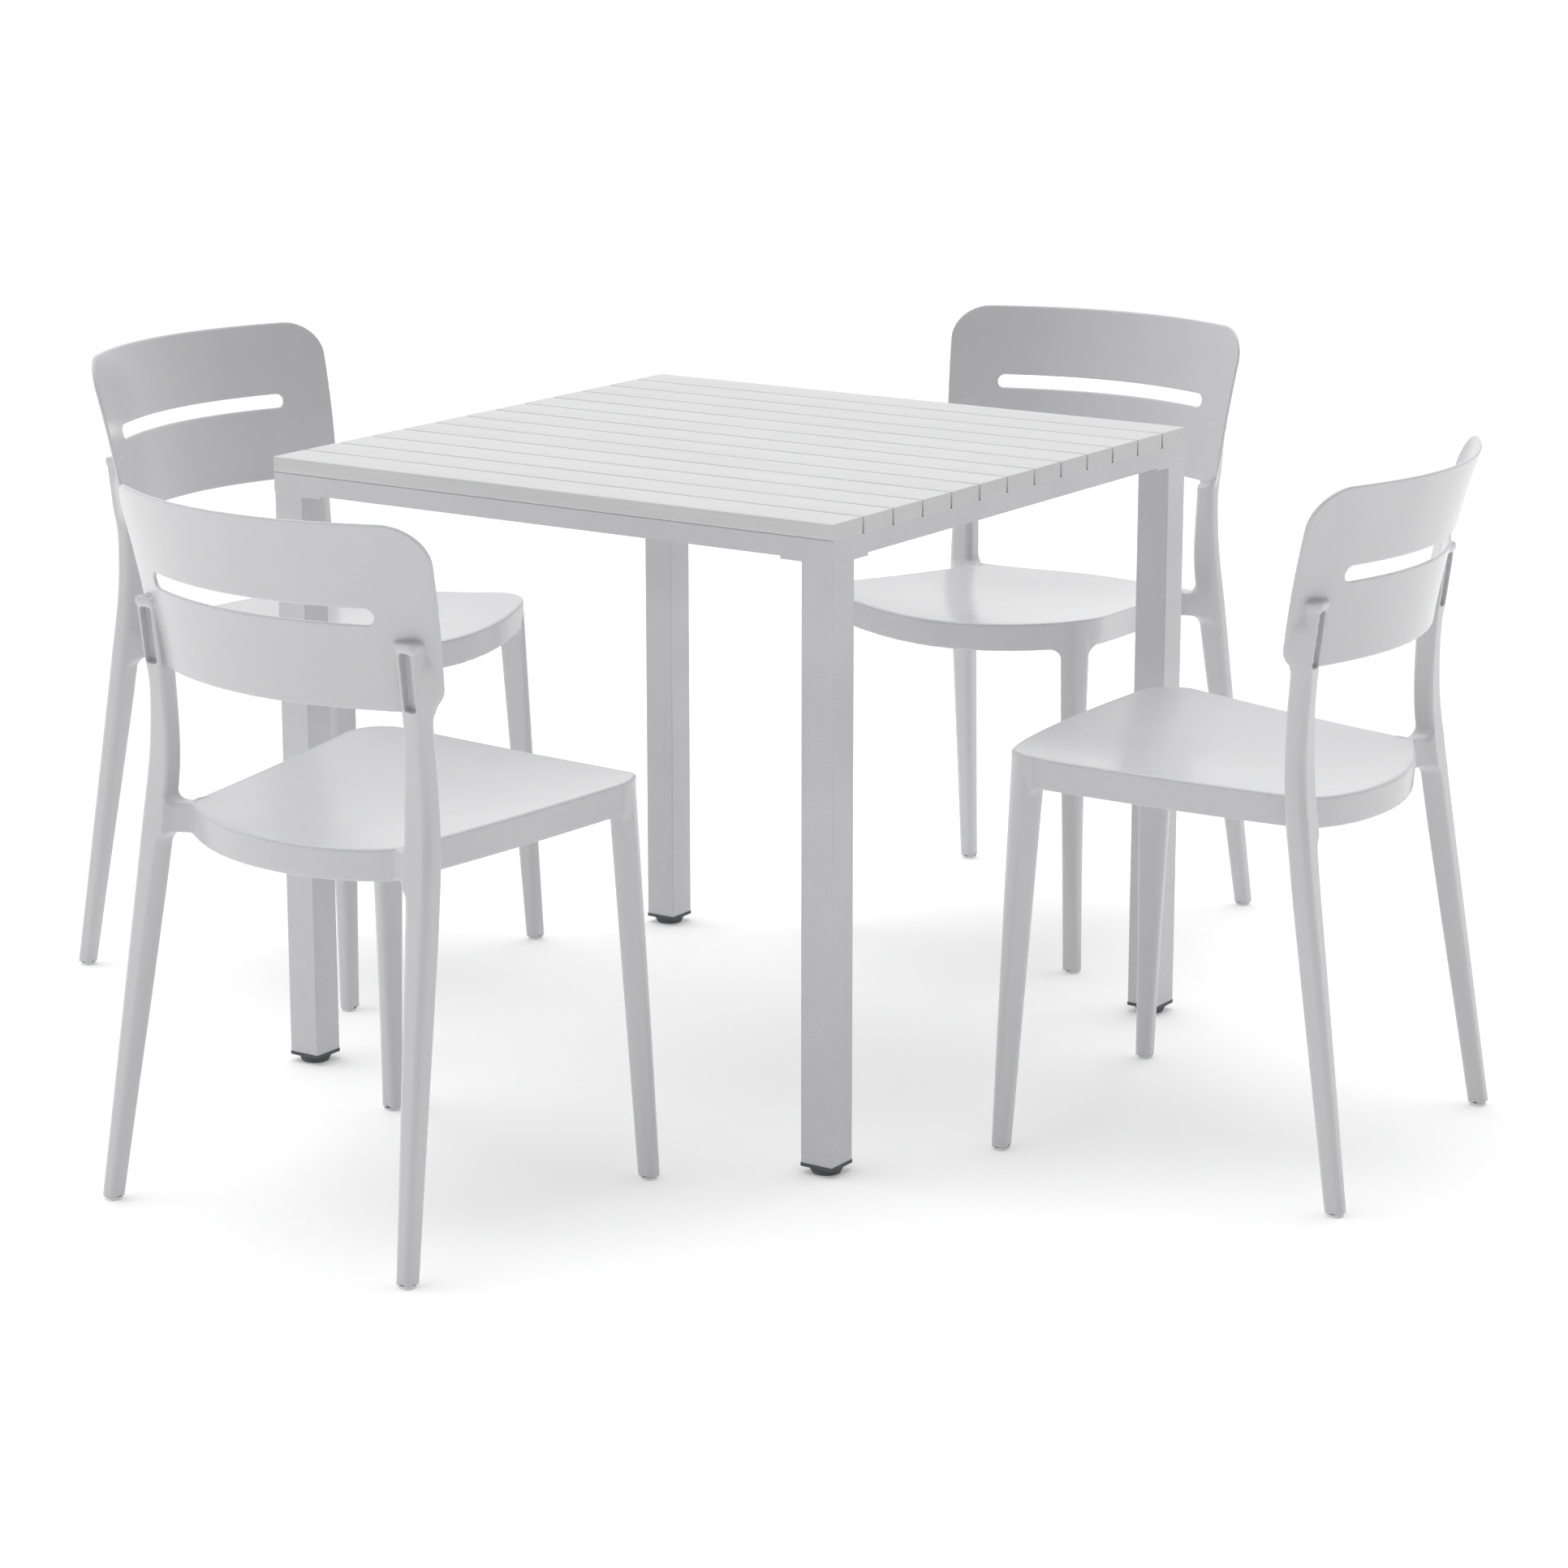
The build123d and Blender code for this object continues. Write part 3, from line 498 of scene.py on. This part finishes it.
def postField(x, y, z, level, s):
    # rear legs running up into the posts, rounder outside than at the soft ridge inside
    cx, cy, halfX, halfY = [np.interp(z, memberHeights, column) for column in memberColumns]
    boss = ease(z, *s["bossRise"])
    ridge = ease(z, *s["ridgeRise"]) * (x < cx) * (y < cy)
    corner = s["postCorner"] * np.minimum(halfX, halfY)
    corner = corner * (1 - boss) + s["bossCorner"] * boss
    corner = corner * (1 - ridge) + np.minimum(corner, s["ridgeCorner"]) * ridge
    post = roundedBox(x - cx, y - cy, halfX, halfY, corner)
    behind = panelMiddle(x, z, s) + s["panelThickness"] * s["postFace"]
    below = np.maximum(s["panelBottom"] - 1 - z, 0)
    post = roundMax(post, (y - behind) * s["faceSlope"] - s["faceRelief"] * below, s["postEdge"])
    post = roundMax(roundMax(post, s["foot"] - z, s["footEdge"]), z - s["capTop"], s["capEdge"])
    # arms from the seat's rear corners to the posts
    armTop = level + (s["armTop"] - level) * ease(x, *s["armLevelling"])
    rootX, rootY = s["armRear"]
    along = np.clip((x - rootX) / s["armRun"], 0, 1)
    rearY = rootY + (cy - halfY + s["armSetBack"] - rootY) * along
    arm = roundMax(rearY - y, z - armTop, s["armEdge"])
    arm = roundMax(arm, s["armBottom"] - z, s["lowEdge"])
    frontX, frontY, runX, runY = s["armFront"]
    front = ((x - frontX) * runX + (y - frontY) * runY) / math.hypot(runX, runY)
    arm = roundMax(arm, front, s["postEdge"])
    arm = np.maximum(arm, np.maximum(s["armStart"] - x, x - cx))
    post = roundMin(post, arm, s["armFillet"])
    low, high, start = s["armZone"]
    envelope = rearY - s["armSetBack"] * along - y
    post = np.where((z > low) & (z < high) & (x > start), np.maximum(post, envelope), post)
    # lip of the boss, under its rounded cap
    cap = roundedBox(x - s["capX"], y - s["capY"], *s["capHalf"], s["capCorner"])
    halfCap = (s["capTop"] - s["capBottom"]) / 2
    cap = roundMax(cap, np.abs(z - s["capTop"] + halfCap) - halfCap, s["postEdge"])
    post = roundMin(post, roundMax(cap, y - behind, 1.0), s["postEdge"])
    return post, armTop


def chairField(points):
    s = chairSizes
    x, y, z = np.abs(points[:, 0]), points[:, 1], points[:, 2]
    level = seatLevel(x, y, s)
    post, armTop = postField(x, y, z, level, s)
    chair = roundMin(seatField(x, y, z, level, s), post, s["postBlend"])
    # the arm's top stays flush with the seat
    near, far, rise = s["armFlush"]
    flush = z - armTop - rise * ease(x, near, far)
    back, side, low, high = s["flushZone"]
    chair = np.where((y < back) & (x < side) & (z > low) & (z < high), np.maximum(chair, flush), chair)
    # back panel with its slot
    middle = panelMiddle(x, z, s)
    slopeX = 2e-4 * s["panelCurve"] * x
    slopeZ = s["panelLean"][0] + 2 * s["panelLean"][1] * (z - s["panelBottom"])
    across = np.abs(y - middle) / np.sqrt(1 + slopeX ** 2 + slopeZ ** 2) - s["panelThickness"] / 2
    rise = (z - s["panelBottom"]) / (s["panelTop"] - s["panelBottom"])
    edge = x - s["panelHalf"][0] - (s["panelHalf"][1] - s["panelHalf"][0]) * rise
    outline = roundMax(roundMax(edge, z - s["panelTop"], s["panelCorners"][0]),
                       s["panelBottom"] - z, s["panelCorners"][1])
    slotLength, slotWidth, slotLevel = s["slot"]
    beyond = np.maximum(x - slotLength / 2 + slotWidth / 2, 0)
    slot = np.hypot(beyond, z - slotLevel) - slotWidth / 2
    panel = roundMax(across, np.maximum(outline, -slot), s["panelEdge"])
    flank = ease(x, *s["flankRun"]) * ease(middle - y, 0, 3) * (1 - ease(z, *s["flankFade"]))
    chair = roundMin(chair, panel, s["panelCrease"] + s["bossFlank"] * flank)
    # pocket in the rear of each boss
    width, length, pocketZ, pocketX, pocketY = s["pocket"]
    pocket = roundedBox(x - pocketX, z - pocketZ, width / 2, length / 2, s["pocketCorner"])
    pocket = roundMax(pocket, y - pocketY + s["pocketLean"] * (z - pocketZ), s["pocketFloor"])
    return roundMax(chair, -pocket, 1.0)


def gradient(field, points, step=0.05):
    result = np.empty_like(points)
    for axis in range(3):
        shift = np.zeros(3)
        shift[axis] = step
        result[:, axis] = (field(points + shift) - field(points - shift)) / (2 * step)
    return result


def settle(field, points, reach, rounds=3):
    # moves points onto the surface and gives its normals there
    for _ in range(rounds):
        slope = gradient(field, points)
        size = np.maximum((slope ** 2).sum(1), 0.05)
        move = -(field(points) / size)[:, None] * slope
        length = np.linalg.norm(move, axis=1, keepdims=True)
        points = points + move * np.minimum(1, reach / np.maximum(length, 1e-9))
    slope = gradient(field, points)
    return points, slope / np.maximum(np.linalg.norm(slope, axis=1, keepdims=True), 1e-9)


def skin(field, low, high, cell, levels=3):
    # cells near the surface, found coarse to fine, then one vertex in each cell that it passes
    low = np.array(low, float)
    size = cell * 2 ** levels
    counts = np.ceil((np.array(high) - low) / size).astype(int)
    cells = np.stack(np.meshgrid(*[np.arange(n) for n in counts], indexing="ij"), -1).reshape(-1, 3)
    corner8 = np.array([(i, j, k) for i in (0, 1) for j in (0, 1) for k in (0, 1)])
    while True:
        # a cell is kept while its middle is within its own diagonal and the widest fillet's error
        near = np.abs(field(low + (cells + 0.5) * size)) < size * 1.3 + 2.0
        cells = cells[near]
        if size <= cell * 1.001:
            break
        cells = (cells[:, None] * 2 + corner8).reshape(-1, 3)
        size /= 2
    spans = counts * 2 ** levels + 2

    def keyOf(c):
        return (c[..., 0] * spans[1] + c[..., 1]) * spans[2] + c[..., 2]

    corners = cells[:, None] + corner8
    keys, where = np.unique(keyOf(corners).reshape(-1), return_inverse=True)
    grid = np.stack([keys // (spans[1] * spans[2]), keys // spans[2] % spans[1], keys % spans[2]], -1)
    values = field(low + grid * cell)[where].reshape(-1, 8)
    inside = values < 0
    active = inside.any(1) & ~inside.all(1)
    cells, values, inside = cells[active], values[active], inside[active]
    total = np.zeros((len(cells), 3))
    count = np.zeros(len(cells))
    for a in range(8):
        for b in range(a + 1, 8):
            if np.abs(corner8[a] - corner8[b]).sum() == 1:
                cross = inside[:, a] != inside[:, b]
                share = values[cross, a] / (values[cross, a] - values[cross, b])
                total[cross] += corner8[a] + share[:, None] * (corner8[b] - corner8[a])
                count[cross] += 1
    points = low + (cells + total / count[:, None]) * cell
    order = np.argsort(keyOf(cells))
    sortedKeys = keyOf(cells)[order]
    faces = []
    for axis in range(3):
        u, v = np.eye(3, dtype=int)[(axis + 1) % 3], np.eye(3, dtype=int)[(axis + 2) % 3]
        first, second = inside[:, 0], inside[:, 4 >> axis]
        for mask, around in ((first & ~second, ((0, 0), (1, 0), (1, 1), (0, 1))),
                             (~first & second, ((0, 0), (0, 1), (1, 1), (1, 0)))):
            base = cells[mask]
            ring = [keyOf(base - i * u - j * v) for i, j in around]
            found = [order[np.minimum(np.searchsorted(sortedKeys, k), len(order) - 1)] for k in ring]
            whole = np.all([keyOf(cells)[f] == k for f, k in zip(found, ring)], axis=0)
            faces.append(np.stack(found, 1)[whole])
    return points, np.concatenate(faces)


def even(field, points, edges, rounds=5):
    # slides points along the surface towards their neighbours, so that no triangle is a sliver
    ends = np.concatenate([edges[:, 0], edges[:, 1]])
    others = np.concatenate([edges[:, 1], edges[:, 0]])
    count = np.maximum(np.bincount(ends, minlength=len(points)), 1)[:, None]
    for _ in range(rounds):
        points, normals = settle(field, points, 0.5, 1)
        total = [np.bincount(ends, points[others, axis], len(points)) for axis in range(3)]
        pull = np.stack(total, 1) / count - points
        pull -= normals * (pull * normals).sum(1, keepdims=True)
        points = points + 0.5 * pull
    return settle(field, points, 0.5, 2)


def buildChairMesh():
    s = chairSizes
    cell = s["cell"]
    sideways, (back, front), (below, above) = s["panelHalf"][1] + 6, s["boxY"], s["boxZ"]
    points, faces = skin(chairField, (-sideways, back, below), (sideways, front, above), cell)
    points, _ = settle(chairField, points, cell * 0.6)
    print("chair skin", len(points), "points", len(faces), "faces", round(time.time() - startTime, 1), "s")
    maker = bpy.data.objects.new("chairMaker", bpy.data.meshes.new("chairMaker"))
    maker.data.from_pydata((points / 1000).tolist(), [], faces.tolist())
    scene.collection.objects.link(maker)
    thin = maker.modifiers.new("thin", "DECIMATE")
    thin.ratio = min(1.0, s["triangles"] / (2 * len(faces)))
    thin.use_collapse_triangulate = True
    chair = plainMesh(maker, "chairPattern")
    mesh = chair.data
    count = len(mesh.vertices)
    flat = np.empty(count * 3)
    mesh.vertices.foreach_get("co", flat)
    edges = np.empty(len(mesh.edges) * 2, dtype=np.int32)
    mesh.edges.foreach_get("vertices", edges)
    points, normals = even(chairField, flat.reshape(-1, 3) * 1000, edges.reshape(-1, 2))
    mesh.vertices.foreach_set("co", (points / 1000).ravel())
    mesh.update()
    # distance in from the rim, for the line on the seat's top, and far below zero elsewhere
    x, y, z = np.abs(points[:, 0]), points[:, 1], points[:, 2]
    line = seatInset(x, y, s) - 100 * np.maximum(np.abs(seatLevel(x, y, s) - z) - s["lipDepth"], 0)
    mesh.attributes.new("rimInset", "FLOAT", "POINT").data.foreach_set("value", line.astype(np.float32))
    print("chair mesh", len(mesh.polygons), "faces", round(time.time() - startTime, 1), "s")
    return chair, normals


# direction each chair faces the table from, distance of its middle, sideways shift, turn
chairPlaces = {"front": (0, 706.2, 6.6, -4.6), "right": (90, 698.5, 19.8, 4.7),
               "back": (180, 686.3, -10.6, -0.5), "left": (270, 691.9, -4.9, 0.6)}


def placeChairs():
    pattern, normals = buildChairMesh()
    for side, (turn, distance, sideways, twist) in chairPlaces.items():
        place = (Matrix.Rotation(math.radians(turn), 4, "Z")
                 @ Matrix.Translation((sideways / 1000, -distance / 1000, 0))
                 @ Matrix.Rotation(math.radians(twist), 4, "Z"))
        chair = bpy.data.objects.new(f"chair_{side}_moulding", pattern.data.copy())
        scene.collection.objects.link(chair)
        chair.data.transform(place)
        turned = normals @ np.array(place.to_3x3()).T
        for polygon in chair.data.polygons:
            polygon.use_smooth = True
        chair.data.normals_split_custom_set_from_vertices(turned.tolist())
        setMaterial(chair, materials["chair"])
        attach(chair, f"chair_{side}")
        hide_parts(f"chair_{side}_shell")
    bpy.data.objects.remove(pattern)


placeChairs()

# floor and backdrop: the world is brightest along bright, fading from full to dim away from it
studio = {"floor": "#f4f4f4", "floorGlow": 0.2, "world": "#ffffff",
          "bright": (-0.62, 0.66, 0.75), "dim": 0.10, "full": 1.02, "fade": (-0.7, 0.75),
          "reach": 60.0}
# broad soft suns: where each shines from, its strength, its spread in degrees
softLights = {"key": ((-1.2, 0.2, 4.2), 0.8, 50.0), "rear": ((0.4, 2.6, 3.4), 0.2, 60.0),
              "front": ((-1.4, -2.0, 2.2), 0.16, 60.0)}
view = {"position": (2.9260, -4.2602, 1.6137), "look": (-0.5408, 0.8056, -0.2419),
        "lens": 98.306, "sensor": 36.0}


def buildStudio():
    mesh = bpy.data.meshes.new("studioFloor")
    reach = studio["reach"]
    corners = [(-reach, -reach, 0), (reach, -reach, 0), (reach, reach, 0), (-reach, reach, 0)]
    mesh.from_pydata(corners, [], [(0, 1, 2, 3)])
    floor = bpy.data.objects.new("studioFloor", mesh)
    scene.collection.objects.link(floor)
    material, tree, shader, coords = newMaterial("studio_floor_pale", {
        "Base Color": srgb(studio["floor"]), "Roughness": 0.9, "Specular IOR Level": 0.1,
        "Emission Color": srgb(studio["floor"]), "Emission Strength": studio["floorGlow"]})
    setMaterial(floor, material)
    world = bpy.data.worlds.new("studioWorld")
    world.use_nodes = True
    tree = world.node_tree
    way = addNode(tree, "ShaderNodeTexCoord").outputs["Generated"]
    toBright = Vector(studio["bright"]).normalized()
    glow = addNode(tree, "ShaderNodeVectorMath", {0: way, 1: toBright}, operation="DOT_PRODUCT")
    fadeStart, fadeEnd = studio["fade"]
    glow = addNode(tree, "ShaderNodeMapRange", {
        "Value": glow.outputs["Value"], "From Min": fadeStart, "From Max": fadeEnd,
        "To Min": studio["dim"], "To Max": studio["full"]}, interpolation_type="SMOOTHSTEP").outputs[0]
    background = tree.nodes["Background"]
    background.inputs["Color"].default_value = srgb(studio["world"])
    tree.links.new(glow, background.inputs["Strength"])
    scene.world = world
    for name, (where, strength, spread) in softLights.items():
        lamp = bpy.data.lights.new(name, "SUN")
        lamp.energy = strength
        lamp.angle = math.radians(spread)
        light = bpy.data.objects.new(name, lamp)
        light.location = where
        light.rotation_euler = Vector(where).to_track_quat("Z", "Y").to_euler()
        scene.collection.objects.link(light)


def buildCamera():
    lens = bpy.data.cameras.new("camera")
    lens.lens = view["lens"]
    lens.sensor_width = view["sensor"]
    camera = bpy.data.objects.new("camera", lens)
    camera.location = view["position"]
    camera.rotation_euler = Vector(view["look"]).to_track_quat("-Z", "Y").to_euler()
    scene.collection.objects.link(camera)
    scene.camera = camera


buildStudio()
buildCamera()
scene.view_settings.view_transform = "Standard"

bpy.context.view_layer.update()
print("scene built in", round(time.time() - startTime, 1), "s")
